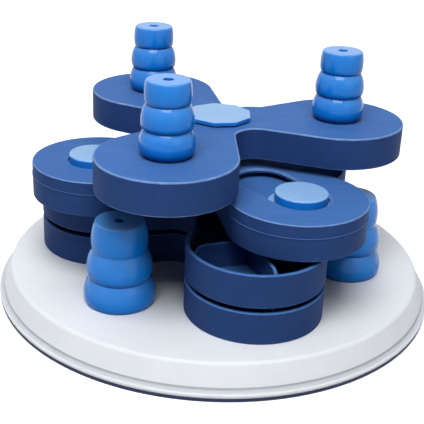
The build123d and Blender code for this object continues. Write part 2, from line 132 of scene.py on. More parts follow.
# Points round the base, round a cone, round other turned parts and round the finer ones
BASE_STEPS, CONE_STEPS, ROUND_STEPS, KNOB_STEPS, DISH_STEPS, BOSS_STEPS = 256, 112, 96, 128, 64, 32
LOBE_STEPS, NOTCH_STEPS, SLOT_STEPS, CURVE_STEPS, CONE_RING_STEPS = 64, 20, 40, 8, 18


# ---- outlines and profiles ------------------------------------------------------------------

def spin(point, turn):
    """A plan point turned about the post by degrees."""
    a = radians(turn)
    return (point[0] * cos(a) - point[1] * sin(a), point[0] * sin(a) + point[1] * cos(a))


def between(a, b, t):
    """The point at a share t of the way from a to b."""
    return (a[0] + (b[0] - a[0]) * t, a[1] + (b[1] - a[1]) * t)


def arc(centre, radius, start, sweep, steps):
    """Points on an arc, in degrees, both ends included."""
    return [(centre[0] + radius * cos(radians(start + sweep * i / steps)),
             centre[1] + radius * sin(radians(start + sweep * i / steps)))
            for i in range(steps + 1)]


def trefoil(inset, turn):
    """Points of the three-lobed outline, inset from the wall; the same number at every inset."""
    hollow = NOTCH_RADIUS + inset
    radius = LOBE_RADIUS - inset
    notch = (NOTCH_AT * cos(radians(60)), NOTCH_AT * sin(radians(60)))
    across = Vector((notch[0] - LOBE_AT, notch[1]))
    lean = degrees(acos((radius + hollow) / across.length))
    touch = degrees(atan2(across.y, across.x)) - lean
    lobe = arc((LOBE_AT, 0.0), radius, -touch, 2 * touch, LOBE_STEPS)
    dent = arc(notch, hollow, touch + 180, 120 - 2 * touch, NOTCH_STEPS)
    flank_in = [between(lobe[-1], dent[0], t / 4) for t in (1, 2, 3)]
    flank_out = [between(dent[-1], spin(lobe[0], 120), t / 4) for t in (1, 2, 3)]
    third = lobe + flank_in + dent + flank_out
    return [spin(point, at + turn) for at in LOBE_TURNS for point in third]


def circle(radius, at=0.0, turn=0.0, steps=ROUND_STEPS):
    """Points of a circle whose centre is at a distance from the post, in the direction turn."""
    return arc(spin((at, 0.0), turn), radius, 0.0, 360.0, steps)[:-1]


def stadium(radius, at, length, turn):
    """A slot's outline: it ends at a distance from the post and runs inward by its length."""
    ends = (arc((at, 0.0), radius, -90, 180, SLOT_STEPS)
            + arc((at - length, 0.0), radius, 90, 180, SLOT_STEPS))
    return [spin(point, turn) for point in ends]


def rounded(corners, closed=True, steps=5, painted_edge=1.0):
    """A 2-D line of (x, y, radius) corners with arcs in place of the corners.

    Gives (x, y, edge) points: edge is the given mark on the arcs and else 0. The mark calls for
    the painted edge colour: a painted highlight, in the white shell's groove a painted shade.
    """
    out = []
    count = len(corners)
    for i, (x, y, radius) in enumerate(corners):
        if radius <= 0 or (not closed and i in (0, count - 1)):
            out.append((x, y, 0.0))
            continue
        here = Vector((x, y))
        back = (Vector(corners[i - 1][:2]) - here).normalized()
        ahead = (Vector(corners[(i + 1) % count][:2]) - here).normalized()
        half = back.angle(ahead) / 2
        middle = here + (back + ahead).normalized() * (radius / sin(half))
        start = here + back * (radius / tan(half)) - middle
        end = here + ahead * (radius / tan(half)) - middle
        a0 = atan2(start.y, start.x)
        sweep = (atan2(end.y, end.x) - a0 + pi) % (2 * pi) - pi
        for k in range(steps + 1):
            a = a0 + sweep * k / steps
            edge = painted_edge if 0 < k < steps else 0.0
            out.append((middle.x + radius * cos(a), middle.y + radius * sin(a), edge))
    return out


def with_edge(points, edge):
    """Profile points with the same edge value each."""
    return [(x, z, edge) for x, z in points]


def arc_through(a, b, c, steps):
    """Points of the arc that runs from a through b to c, both ends included."""
    turn = 2 * ((a[0] - c[0]) * (b[1] - c[1]) - (b[0] - c[0]) * (a[1] - c[1]))
    squares = [p[0] ** 2 + p[1] ** 2 - c[0] ** 2 - c[1] ** 2 for p in (a, b)]
    x = (squares[0] * (b[1] - c[1]) - squares[1] * (a[1] - c[1])) / turn
    y = (squares[1] * (a[0] - c[0]) - squares[0] * (b[0] - c[0])) / turn
    angles = [degrees(atan2(p[1] - y, p[0] - x)) for p in (a, b, c)]
    sweep = (angles[2] - angles[0]) % 360
    if (angles[1] - angles[0]) % 360 > sweep:
        sweep -= 360
    return arc((x, y), sqrt((a[0] - x) ** 2 + (a[1] - y) ** 2), angles[0], sweep, steps)


def bezier(a, b, c, d, steps):
    """Points of a cubic curve, both ends included."""
    points = []
    for i in range(steps + 1):
        t = i / steps
        shares = ((1 - t) ** 3, 3 * (1 - t) ** 2 * t, 3 * (1 - t) * t * t, t ** 3)
        points.append(tuple(sum(s * p[k] for s, p in zip(shares, (a, b, c, d))) for k in (0, 1)))
    return points


# ---- mesh builder ---------------------------------------------------------------------------

class Piece:
    """A mesh under construction: rings of points, bands between them and caps with holes."""

    def __init__(self):
        self.bm = bmesh.new()
        # Per-vertex mark for the painted edge colour: a painted highlight on rounded edges, a
        # painted shade in the white shell's groove
        self.edge = self.bm.verts.layers.float.new("edge")

    def ring(self, points, z, edge=0.0):
        """Vertices at the points of an outline, at one height."""
        ring = []
        for x, y in points:
            vert = self.bm.verts.new((x * MM, y * MM, z * MM))
            vert[self.edge] = edge
            ring.append(vert)
        return ring

    def band(self, low, high):
        """Faces between two rings of the same number of points."""
        count = len(low)
        for i in range(count):
            j = (i + 1) % count
            self.bm.faces.new((low[i], low[j], high[j], high[i]))

    def wall(self, outline, profile, closed=False):
        """Loft a profile of (inset, z, edge) round an outline that is a function of the inset."""
        rings = [self.ring(outline(inset), z, edge) for inset, z, edge in profile]
        for low, high in zip(rings, rings[1:]):
            self.band(low, high)
        if closed:
            self.band(rings[-1], rings[0])
        return rings

    def cap(self, *rings):
        """A flat face bounded by the first ring, with the others as its holes."""
        edges = []
        for ring in rings:
            for i, vert in enumerate(ring):
                other = ring[(i + 1) % len(ring)]
                edges.append(self.bm.edges.get((vert, other)) or self.bm.edges.new((vert, other)))
        bmesh.ops.triangle_fill(self.bm, use_beauty=True, use_dissolve=False, edges=edges)

    def lathe(self, profile, at=0.0, turn=0.0, closed=True, steps=ROUND_STEPS):
        """Spin a profile of (radius, z, edge) round an upright axis."""
        def outline(radius):
            return circle(max(radius, MM), at, turn, steps)
        return self.wall(outline, profile, closed)

    def slab(self, side, thickness, place):
        """A rib: a side outline of (x, z), thick along Y, with softened edges."""
        loops = []
        for y in (-thickness / 2, thickness / 2):
            loops.append([self.bm.verts.new(place @ Vector((x * MM, y * MM, z * MM)))
                          for x, z in side])
        faces = [self.bm.faces.new(loops[0]), self.bm.faces.new(list(reversed(loops[1])))]
        for i in range(len(side)):
            j = (i + 1) % len(side)
            self.bm.faces.new((loops[0][j], loops[0][i], loops[1][i], loops[1][j]))
        rims = [edge for face in faces for edge in face.edges]
        done = bmesh.ops.bevel(self.bm, geom=rims, offset=RIB_EDGE * MM, segments=3,
                               affect="EDGES", profile=0.5, clamp_overlap=True)
        # The rib's rounded edges are marked for the painted highlight
        for face in done["faces"]:
            for vert in face.verts:
                vert[self.edge] = 1.0
        # The two sides, the only faces of many corners, get a margin, so that the painted
        # highlight of the bevel ends there
        around = {face for new in done["faces"] for edge in new.edges for face in edge.link_faces}
        flats = sorted((face for face in around if len(face.verts) > 8), key=lambda f: f.index)
        bmesh.ops.inset_individual(self.bm, faces=flats, thickness=RIB_EDGE * MM)
        for face in flats:
            for vert in face.verts:
                vert[self.edge] = 0.0

    def finish(self, name, body, material, node_name, sharp=40.0):
        """Make the object, let it ride on its body and stand for its CAD node.

        Edges that turn by more than sharp degrees stay sharp.
        """
        bmesh.ops.remove_doubles(self.bm, verts=self.bm.verts, dist=1e-6)
        bmesh.ops.recalc_face_normals(self.bm, faces=self.bm.faces)
        mesh = bpy.data.meshes.new(name)
        self.bm.to_mesh(mesh)
        self.bm.free()
        mesh.polygons.foreach_set("use_smooth", [True] * len(mesh.polygons))
        mesh.set_sharp_from_angle(angle=radians(sharp))
        obj = bpy.data.objects.new(name, mesh)
        bpy.context.scene.collection.objects.link(obj)
        soften = obj.modifiers.new("even_normals", "WEIGHTED_NORMAL")
        soften.keep_sharp = True
        mesh.materials.append(material)
        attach(obj, body)
        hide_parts(node_name)
        return obj


# ---- shader nodes ---------------------------------------------------------------------------

def node(tree, kind, **values):
    """A shader node with its settings, or its inputs, given by name."""
    made = tree.nodes.new(kind)
    for key, value in values.items():
        if key in made.inputs:
            made.inputs[key].default_value = value
        else:
            setattr(made, key, value)
    return made


def noise(tree, vector, scale, detail=3.0, roughness=0.55, distortion=0.0):
    """A noise from 0 to 1 over the positions in vector."""
    made = node(tree, "ShaderNodeTexNoise", Scale=scale, Detail=detail, Roughness=roughness,
                Distortion=distortion)
    tree.links.new(vector, made.inputs["Vector"])
    return made.outputs["Fac"]


def remap(tree, value, before, after, kind="LINEAR"):
    """A value carried over from the range before to the range after, and held inside it."""
    made = node(tree, "ShaderNodeMapRange", interpolation_type=kind)
    for key, number in zip(("From Min", "From Max", "To Min", "To Max"), (*before, *after)):
        made.inputs[key].default_value = number
    tree.links.new(value, made.inputs["Value"])
    return made.outputs[0]


def maths(tree, operation, a, b):
    """Two values brought together by a maths node."""
    made = node(tree, "ShaderNodeMath", operation=operation)
    tree.links.new(a, made.inputs[0])
    tree.links.new(b, made.inputs[1])
    return made.outputs[0]


def mix(tree, share, a, b):
    """Two colours mixed: each is a colour or a socket."""
    made = node(tree, "ShaderNodeMix", data_type="RGBA")
    tree.links.new(share, made.inputs["Factor"])
    for key, colour in (("A", a), ("B", b)):
        if isinstance(colour, tuple):
            made.inputs[key].default_value = (*colour, 1.0)
        else:
            tree.links.new(colour, made.inputs[key])
    return made.outputs["Result"]


def empty_material(name):
    """A material without nodes, and its node tree."""
    material = bpy.data.materials.new(name)
    material.use_nodes = True
    material.node_tree.nodes.clear()
    return material, material.node_tree


# ---- materials ------------------------------------------------------------------------------

# Scales of the noises, per metre, and the shares by which they change the colour
CLOUD_SCALE, CLOUD_SHARES = 38.0, (0.93, 1.07)
STREAK_SCALES, STREAK_TURN, STREAK_SHARES = (30.0, 260.0, 60.0), radians(35), (0.95, 1.05)
PAINTED_EDGE_SCALE, PATCH_SCALE = 260.0, 90.0
ROUGH_SPREAD = 0.06
GRAIN_DEPTH, FLOW_DEPTH = 0.0002, 0.0004
# The range that most values of a noise lie in
NOISE_MIDDLE = (0.3, 0.7)

STEEL_MARKS_SCALE, STEEL_ROUGHNESS = 900.0, (0.25, 0.5)
STEEL_DARK, STEEL_BRIGHT = (0.50, 0.51, 0.53), (0.66, 0.67, 0.69)


def plastic(name, under, wall, top, painted_edge, roughness, grain=0.05, grain_size=1400.0,
            specular=0.5, flow=0.0, painted_edge_range=(0.45, 1.0), painted_shading_ramp=(-0.6, 0.1, 0.95)):
    """Moulded plastic, slightly cloudy, with a fine grain and, with flow, faint flow streaks.

    Its colours are painted light and shade by facing: a painted shade for undersides, the plain
    wall colour, a painted top-face colour, and a painted colour for marked rounded edges. That
    edge colour is a painted highlight on the blue and navy parts and a painted shade in the white
    shell's groove.
    The shading ramp gives the normal's Z values at which the first three stand, and the edge range
    how much of the painted edge colour an edge shows, at least and at most.
    """
    material, tree = empty_material(name)
    link = tree.links.new
    out = node(tree, "ShaderNodeOutputMaterial")
    shader = node(tree, "ShaderNodeBsdfPrincipled")
    shader.inputs["Specular IOR Level"].default_value = specular
    link(shader.outputs[0], out.inputs[0])
    place = node(tree, "ShaderNodeTexCoord")
    spot = place.outputs["Object"]

    # Painted light and shade by facing: the colour runs from the painted shade of undersides
    # through the wall colour to the painted top-face colour, by the normal's Z
    facing = node(tree, "ShaderNodeSeparateXYZ")
    link(place.outputs["Normal"], facing.inputs[0])
    painted_shade_blend = remap(tree, facing.outputs["Z"], painted_shading_ramp[:2], (0.0, 1.0), "SMOOTHSTEP")
    painted_highlight_blend = remap(tree, facing.outputs["Z"], painted_shading_ramp[1:], (0.0, 1.0))
    shade = remap(tree, noise(tree, spot, CLOUD_SCALE), (0.0, 1.0), CLOUD_SHARES)
    if flow:
        stretch = node(tree, "ShaderNodeMapping")
        stretch.inputs["Scale"].default_value = STREAK_SCALES
        stretch.inputs["Rotation"].default_value = (0.0, 0.0, STREAK_TURN)
        link(spot, stretch.inputs["Vector"])
        streaks = noise(tree, stretch.outputs[0], 1.0, roughness=0.5, distortion=0.6)
        shade = maths(tree, "MULTIPLY", shade, remap(tree, streaks, NOISE_MIDDLE, STREAK_SHARES))
    cloudy = node(tree, "ShaderNodeVectorMath", operation="SCALE")
    link(mix(tree, painted_highlight_blend, mix(tree, painted_shade_blend, under, wall), top), cloudy.inputs[0])
    link(shade, cloudy.inputs["Scale"])
    # Marked edges take the painted edge colour, blotched by noise: a painted highlight on the blue
    # and navy parts, a painted shade in the white shell's groove
    edge = node(tree, "ShaderNodeAttribute", attribute_name="edge")
    marks = noise(tree, spot, PAINTED_EDGE_SCALE, detail=4.0, roughness=0.6)
    painted_edge_share = maths(tree, "MULTIPLY", edge.outputs["Fac"],
                    remap(tree, marks, NOISE_MIDDLE, painted_edge_range))
    link(mix(tree, painted_edge_share, cloudy.outputs[0], painted_edge), shader.inputs["Base Color"])

    patches = noise(tree, spot, PATCH_SCALE, detail=5.0, roughness=0.6)
    link(remap(tree, patches, (0.25, 0.75), (roughness - ROUGH_SPREAD, roughness + ROUGH_SPREAD)),
         shader.inputs["Roughness"])

    bump = node(tree, "ShaderNodeBump", Strength=grain, Distance=GRAIN_DEPTH)
    link(noise(tree, spot, grain_size, detail=2.0, roughness=0.5), bump.inputs["Height"])
    normal = bump.outputs[0]
    if flow:
        waves = node(tree, "ShaderNodeBump", Strength=flow, Distance=FLOW_DEPTH)
        link(streaks, waves.inputs["Height"])
        link(normal, waves.inputs["Normal"])
        normal = waves.outputs[0]
    link(normal, shader.inputs["Normal"])
    return material


def steel(name):
    """Bright screws with fine turned marks."""
    material = bpy.data.materials.new(name)
    material.use_nodes = True
    tree = material.node_tree
    shader = tree.nodes["Principled BSDF"]
    shader.inputs["Metallic"].default_value = 1.0
    place = node(tree, "ShaderNodeTexCoord")
    marks = noise(tree, place.outputs["Object"], STEEL_MARKS_SCALE)
    tree.links.new(remap(tree, marks, (0.0, 1.0), STEEL_ROUGHNESS), shader.inputs["Roughness"])
    tree.links.new(mix(tree, marks, STEEL_DARK, STEEL_BRIGHT), shader.inputs["Base Color"])
    return material


# Each plastic's colours: a painted shade for undersides, the wall colour, a painted top-face
# colour and a painted colour for marked rounded edges
# Navy painted shade for undersides and the navy wall colour
NAVY_PAINTED_SHADE_AND_WALL = ((0.005, 0.020, 0.090), (0.021, 0.053, 0.172))
# The ramp of the navy parts sets where their painted shade and painted top-face highlight begin
NAVY_SURFACE_AND_SHADING = dict(roughness=0.58, specular=0.06, flow=0.12, painted_shading_ramp=(-0.6, 0.2, 0.95))
NAVY = plastic("navy_plastic", *NAVY_PAINTED_SHADE_AND_WALL, (0.040, 0.118, 0.330), (0.065, 0.165, 0.400),
               **NAVY_SURFACE_AND_SHADING)
# Top plate and lid: their rims get a pale painted highlight
NAVY_PLATE = plastic("navy_plate_plastic", *NAVY_PAINTED_SHADE_AND_WALL, (0.042, 0.119, 0.330),
                     (0.165, 0.275, 0.510), **NAVY_SURFACE_AND_SHADING)
# Cones: a dark painted shade underneath, a paler painted highlight on top faces and on the crown
# and hole edges
LIGHT_BLUE = plastic("light_blue_plastic", (0.002, 0.065, 0.270), (0.003, 0.175, 0.600),
                     (0.075, 0.245, 0.600), (0.080, 0.280, 0.640), roughness=0.15, grain=0.0,
                     specular=0.20, painted_shading_ramp=(-0.6, 0.0, 1.0))
# Knobs and badge: a pale painted sheen on their flat tops and a pale painted highlight on their
# rounded edges
KNOB_BLUE = plastic("knob_plastic", (0.002, 0.065, 0.290), (0.003, 0.170, 0.600),
                    (0.185, 0.340, 0.570), (0.230, 0.420, 0.680), roughness=0.36, grain=0.0,
                    specular=0.30)
# White shell: a painted shade underneath, and a darker grey painted shade in the groove below the
# bevel
WHITE = plastic("white_plastic", (0.60, 0.62, 0.65), (0.69, 0.71, 0.74), (0.66, 0.68, 0.71),
                (0.46, 0.48, 0.52), roughness=0.46, grain=0.04, specular=0.2, painted_edge_range=(0.9, 1.0))
RUBBER = plastic("grip_rubber", (0.010, 0.016, 0.055), (0.014, 0.024, 0.070),
                 (0.016, 0.026, 0.075), (0.020, 0.030, 0.080), roughness=0.62, grain=0.25,
                 grain_size=900.0, specular=0.3)
NATURAL = plastic("washer_plastic", (0.66, 0.65, 0.61), (0.72, 0.71, 0.67), (0.75, 0.74, 0.70),
                  (0.80, 0.79, 0.75), roughness=0.45)
STEEL = steel("screw_steel")


# ---- base -----------------------------------------------------------------------------------

def base_shell():
    """The white shell: deck with three dishes, bevel, groove and bead."""
    piece = Piece()
    ease = bezier(DECK_EDGE, *EASE_PULLS, SHOULDER, CURVE_STEPS)
    # Rings at sixtieths of the bevel; the first and the last, near its ends, keep it flat
    bevel = [between(SHOULDER, BEVEL_FOOT, sixtieth / 60) for sixtieth in (1, 15, 29, 43, 57)]
    groove = arc_through(BEVEL_FOOT, GROOVE, BEAD_TOP, CURVE_STEPS)
    bead = arc_through(BEAD_TOP, BEAD_MIDDLE, BEAD_FOOT, CURVE_STEPS)
    # The groove is marked for the white's edge colour, a darker grey painted shade
    profile = (with_edge(ease + bevel, 0.0) + with_edge(groove, 1.0)
               + with_edge(bead[1:] + [(BEAD_INSIDE, BEAD_Z)], 0.0))
    rings = piece.lathe(profile, closed=False, steps=BASE_STEPS)
    under = piece.ring(circle(SHELL_INSIDE, steps=BASE_STEPS), DECK_UNDER)
    piece.band(rings[-1], under)
    rim = rounded([(DISH_RADIUS, DECK_Z, 0), (DISH_RADIUS, DISH_TOP, DISH_EDGE),
                   (DISH_BORE, DISH_TOP, DISH_EDGE), (DISH_BORE, DISH_FLOOR, DISH_COVE),
                   (0.0, DISH_FLOOR, 0)], closed=False, painted_edge=0.0)
    dishes = [piece.lathe(rim, BASE_CONE["at"], CONE_TURN + turn, closed=False,
                          steps=DISH_STEPS)[0] for turn in LOBE_TURNS]
    piece.cap(rings[0], *dishes)
    piece.cap(under)
    return piece.finish("base_shell_skin", "base", WHITE, "base_shell")


def grip_ring():
    """The dark ring that the toy stands on, with its tongue up inside the shell."""
    piece = Piece()
    profile = rounded([(GRIP_OUTSIDE, BEAD_Z, GRIP_EDGE), (GRIP_OUTSIDE, 0.0, GRIP_FOOT_OUTSIDE),
                       (GRIP_INSIDE, 0.0, GRIP_FOOT_INSIDE), (GRIP_INSIDE, GRIP_TOP, GRIP_EDGE),
                       (GRIP_TONGUE, GRIP_TOP, GRIP_EDGE), (GRIP_TONGUE, BEAD_Z, 0)])
    piece.lathe(profile, steps=BASE_STEPS)
    return piece.finish("grip_ring_skin", "base", RUBBER, "grip_ring")


# ---- trays ----------------------------------------------------------------------------------

def ribs(piece, z, top):
    """The T of ribs in every lobe: one rib across it and one out along its middle."""
    inside = LOBE_RADIUS - WALL
    across = sqrt((inside - CROSS_RIB_END_GAP) ** 2 - CROSS_RIB_BACK ** 2)
    outward = LOBE_AT + inside - OUT_RIB_END_GAP - RIB_CORNER_AT
    foot = z + RIB_SINK
    for turn in LOBE_TURNS:
        corner = (Matrix.Rotation(radians(TRAY_TURN + turn), 4, "Z")
                  @ Matrix.Translation((RIB_CORNER_AT * MM, 0, 0)))
        for way, length in ((0, outward), (90, across), (-90, across)):
            side = rounded([(0, foot, 0), (length, foot, 0), (length, top, RIB_ROUND),
                            (0, top, 0)], steps=8)
            piece.slab([point[:2] for point in side], RIB_THICKNESS,
                       corner @ Matrix.Rotation(radians(way), 4, "Z"))


def boss(piece, radius, bore, z, top, edge_round, at=0.0, turn=0.0, steps=ROUND_STEPS):
    """A round boss with a bore that stands on a tray's floor."""
    foot = z + BOSS_SINK
    piece.lathe(rounded([(radius, foot, 0), (radius, top, edge_round), (bore, top, 0),
                         (bore, foot, 0)]), at, turn, steps=steps)


def tray(name, body, z, top, hub_top, with_bosses):
    """An open three-lobed tray with rounded rims, a coved floor, ribs and a hub."""
    piece = Piece()
    floor = z + WALL
    profile = rounded([(WALL + RUN_ON, z, 0), (0, z, FOOT_ROUND), (0, top, RIM_ROUND),
                       (WALL, top, RIM_ROUND), (WALL, floor, FLOOR_COVE),
                       (WALL + RUN_ON, floor, 0)], closed=False)[1:-1]
    rings = piece.wall(lambda inset: trefoil(inset, TRAY_TURN), profile)
    hub = piece.lathe([(HUB_RADIUS, floor, 0), (HUB_RADIUS, hub_top - HUB_CHAMFER, 0),
                       (HUB_RADIUS - HUB_CHAMFER, hub_top, 0),
                       (HUB_BORE + HUB_CHAMFER, hub_top, 0),
                       (HUB_BORE, hub_top - HUB_CHAMFER, 0), (HUB_BORE, z, 0)], closed=False)
    piece.cap(rings[0], hub[-1])
    piece.cap(rings[-1], hub[0])
    if with_bosses:
        boss(piece, POST_BOSS_RADIUS, POST_BOSS_BORE, z, z + POST_BOSS_HEIGHT, POST_BOSS_ROUND)
        for turn in LOBE_TURNS:
            boss(piece, SCREW_BOSS_RADIUS, SCREW_BOSS_BORE, z, z + SCREW_BOSS_HEIGHT,
                 SCREW_BOSS_ROUND, RIB_CORNER_AT, TRAY_TURN + turn, BOSS_STEPS)
    ribs(piece, z, top - RIB_DROP)
    return piece.finish(name + "_skin", body, NAVY, name)


# ---- slider storey --------------------------------------------------------------------------

def slider_outline(inset):
    """The slider storey's three-lobed outline."""
    return trefoil(inset, SLIDER_TURN)


def slider_lid():
    """The lid: a seam bead at its foot and three long slots with a stepped, softened lip."""
    piece = Piece()
    under = LID_TOP - WALL
    bead_top = SEAM_Z + SEAM_BEAD_HEIGHT
    outside = rounded([(WALL, SEAM_Z, 0), (-SEAM_BEAD, SEAM_Z, SEAM_BEAD_ROUND),
                       (-SEAM_BEAD, bead_top, SEAM_BEAD_ROUND), (0, bead_top + SEAM_BEAD_FADE, 0),
                       (0, LID_TOP, RIM_ROUND), (RUN_ON, LID_TOP, 0)], closed=False)[:-1]
    # The seam bead is left unmarked; the lid's rim above it keeps the painted edge highlight
    outside = [(x, z, edge if z > bead_top else 0.0) for x, z, edge in outside]
    rings = piece.wall(slider_outline, outside)
    inner = piece.ring(slider_outline(WALL), under)
    piece.band(inner, rings[0])
    step = LID_TOP - LIP_DEPTH
    lip = rounded([(LIP_OUT + RUN_ON, LID_TOP, 0), (LIP_OUT, LID_TOP, LIP_ROUND),
                   (LIP_FOOT_OUT, step, LIP_FOOT_ROUND), (0, step, SLOT_ROUND),
                   (0, under, SLOT_FOOT_ROUND), (RUN_ON, under, 0)], closed=False)[1:-1]
    slots, slots_under = [], []
    for turn in LOBE_TURNS:
        slot = piece.wall(lambda out: stadium(SLOT_HALF_WIDTH + out, SLOT_AT, SLOT_TRAVEL,
                                              SLIDER_TURN + turn), lip)
        slots.append(slot[0])
        slots_under.append(slot[-1])
    hub = piece.lathe([(LID_BORE + BORE_CHAMFER, LID_TOP, 0),
                       (LID_BORE, LID_TOP - BORE_CHAMFER, 0), (LID_BORE, under, 0)],
                      closed=False)
    piece.cap(rings[-1], hub[0], *slots)
    piece.cap(inner, hub[-1], *slots_under)
    return piece.finish("slider_lid_skin", "slider_tier", NAVY_PLATE,
                        "slider_lid")


def slider_body():
    """The lower half: outer wall, raised deck with three dished wells and the hub."""
    piece = Piece()
    profile = rounded([(WALL, SLIDER_Z, 0), (0, SLIDER_Z, FOOT_ROUND), (0, SEAM_Z, SEAM_ROUND),
                       (SPIGOT_INSET, SEAM_Z, 0), (SPIGOT_INSET, CHANNEL_Z, 0)], closed=False)
    rings = piece.wall(slider_outline, profile)
    inner = piece.ring(slider_outline(WALL), SEAM_Z - WALL)
    piece.band(inner, rings[0])
    cup = rounded([(WELL_RADIUS + RUN_ON, CHANNEL_Z, 0), (WELL_RADIUS, CHANNEL_Z, WELL_EDGE),
                   (WELL_RADIUS, WELL_FLOOR, WELL_COVE), (0.0, WELL_FLOOR, 0)],
                  closed=False, steps=6)[1:]
    wells = [piece.lathe(cup, SLOT_AT, SLIDER_TURN + turn, closed=False)[0] for turn in LOBE_TURNS]
    hub_top = TOP_Z - HUB_SHORT
    hub = piece.lathe([(HUB_RADIUS, CHANNEL_Z, 0), (HUB_RADIUS, hub_top - HUB_CHAMFER, 0),
                       (HUB_RADIUS - HUB_CHAMFER, hub_top, 0), (HUB_BORE, hub_top, 0),
                       (HUB_BORE, SLIDER_Z, 0), (HUB_RADIUS, SLIDER_Z, 0),
                       (HUB_RADIUS, SEAM_Z - WALL, 0)], closed=False)
    piece.cap(rings[-1], hub[0], *wells)
    piece.cap(inner, hub[-1])
    return piece.finish("slider_body_skin", "slider_tier", NAVY, "slider_body")


def knob(number):
    """A slider: a flange under the lid and a flat-topped knob with a crisp rounded edge."""
    piece = Piece()
    z = CHANNEL_Z + CHANNEL_PLAY
    flange_top, knob_top = z + FLANGE_THICKNESS, z + KNOB_HEIGHT
    profile = rounded([(0, z, 0), (FLANGE_RADIUS, z, FLANGE_FOOT_ROUND),
                       (FLANGE_RADIUS, flange_top, FLANGE_ROUND),
                       (KNOB_RADIUS, flange_top, KNOB_FOOT_ROUND),
                       (KNOB_RADIUS, knob_top, KNOB_ROUND), (0, knob_top, 0)],
                      closed=False, steps=6)
    piece.lathe(profile, SLOT_AT, SLIDER_TURN + LOBE_TURNS[number], closed=False,
                steps=KNOB_STEPS)
    name = f"slider_{number + 1}"
    return piece.finish(name + "_knob", name, KNOB_BLUE, name)


# ---- top plate ------------------------------------------------------------------------------

def top_plate():
    """The thick plate: soft rim, three cone seats and the screw recess in its hub."""
    piece = Piece()

    def outline(inset):
        return trefoil(inset, TOP_TURN)

    profile = rounded([(WALL, TOP_Z, 0), (0, TOP_Z, FOOT_ROUND), (0, PLATE_TOP, PLATE_ROUND),
                       (RUN_ON, PLATE_TOP, 0)], closed=False, steps=6)[:-1]
    rings = piece.wall(outline, profile)
    inner = piece.ring(outline(WALL), PLATE_TOP - WALL)
    piece.band(inner, rings[0])
    floor = PLATE_TOP - CONE_RECESS_DEPTH
    seat = rounded([(CONE_RECESS_RADIUS + RUN_ON, PLATE_TOP, 0),
                    (CONE_RECESS_RADIUS, PLATE_TOP, SEAT_EDGE),
                    (CONE_RECESS_RADIUS, floor, SEAT_COVE), (0.0, floor, 0)], closed=False)[1:]
    seats = [piece.lathe(seat, TOP_CONE["at"], TOP_TURN + turn, closed=False)[0]
             for turn in LOBE_TURNS]
    ledge = PLATE_TOP - SCREW_RECESS_DEPTH
    hub_side = SCREW_RECESS_RADIUS + WALL
    hub = piece.lathe([(SCREW_RECESS_RADIUS + BORE_CHAMFER, PLATE_TOP, 0),
                       (SCREW_RECESS_RADIUS, PLATE_TOP - BORE_CHAMFER, 0),
                       (SCREW_RECESS_RADIUS, ledge, 0), (HUB_BORE, ledge, 0), (HUB_BORE, TOP_Z, 0),
                       (hub_side, TOP_Z, 0), (hub_side, PLATE_TOP - WALL, 0)], closed=False)
    piece.cap(rings[-1], hub[0], *seats)
    piece.cap(inner, hub[-1])
    return piece.finish("top_plate_skin", "top_plate", NAVY_PLATE, "top_plate")


def badge_cap():
    """The bare many-sided cap on its neck, with softly rounded corners."""
    piece = Piece()
    low = PLATE_TOP + BADGE_LIFT
    high = low + BADGE_THICKNESS

    def outline(inset):
        reach = BADGE_RADIUS - inset / cos(pi / BADGE_SIDES)
        corners = [(*spin((reach, 0.0), BADGE_TURN + 360 * i / BADGE_SIDES), BADGE_CORNER)
                   for i in range(BADGE_SIDES)]
        return [point[:2] for point in rounded(corners, steps=4)]

    profile = rounded([(RUN_ON, low, 0), (0, low, BADGE_FOOT_ROUND), (0, high, BADGE_ROUND),
                       (RUN_ON, high, 0)], closed=False)[1:-1]
    rings = piece.wall(outline, profile)
    spigot_foot = PLATE_TOP - BADGE_SPIGOT_LENGTH
    neck = piece.lathe([(BADGE_NECK, low, 0), (BADGE_NECK, PLATE_TOP, 0),
                        (BADGE_SPIGOT, PLATE_TOP, 0), (BADGE_SPIGOT, spigot_foot, 0),
                        (BADGE_SPIGOT_BORE, spigot_foot, 0), (BADGE_SPIGOT_BORE, low, 0)],
                       closed=False)
    piece.cap(rings[-1])
    piece.cap(rings[0], neck[0])
    piece.cap(neck[-1])
    return piece.finish("badge_cap_skin", "top_plate", KNOB_BLUE,
                        "badge_cap")


# ---- cones ----------------------------------------------------------------------------------

def cone(name, turn, rings, full, foot_height, z, at):
    """A hollow cone of three bulged rings with crisp creases, and a hole in its top."""
    foot, crown = rings[0][0], rings[-1][2]
    ring_z = z + foot_height
    outside = [(foot, ring_z, 0.0)] if foot_height else []
    for low, fullest, high, height in rings:
        # Where the curve's two inner points lie, so that its middle is at the fullest radius
        pull = (fullest - (low + high) / 8) * 4 / 3
        side = bezier((low, ring_z), (pull, ring_z + full[0] * height),
                      (pull, ring_z + full[1] * height), (high, ring_z + height),
                      CONE_RING_STEPS)
        outside += with_edge(side[1:], 0.0)
        ring_z += height
    outside = [point for point in outside if point[1] < ring_z - CONE_EDGE]
    roof = ring_z - CONE_TOP_WALL
    lower_edge = rounded([(foot - CONE_WALL, z, 0), (foot, z, CONE_FOOT_ROUND), outside[0]],
                         closed=False)
    upper_edge = rounded([outside[-1], (crown, ring_z, CONE_CROWN_ROUND),
                          (CONE_HOLE, ring_z, CONE_HOLE_ROUND), (CONE_HOLE, roof, CONE_ROOF_ROUND),
                          (rings[-1][0] - CONE_CROWN_WALL, roof, CONE_ROOF_COVE),
                          (foot - CONE_WALL, z, 0)], closed=False, steps=6)
    piece = Piece()
    piece.lathe(lower_edge[:-1] + outside + upper_edge[1:-1], at, turn, steps=CONE_STEPS)
    return piece.finish(name + "_skin", name, LIGHT_BLUE, name, sharp=50.0)


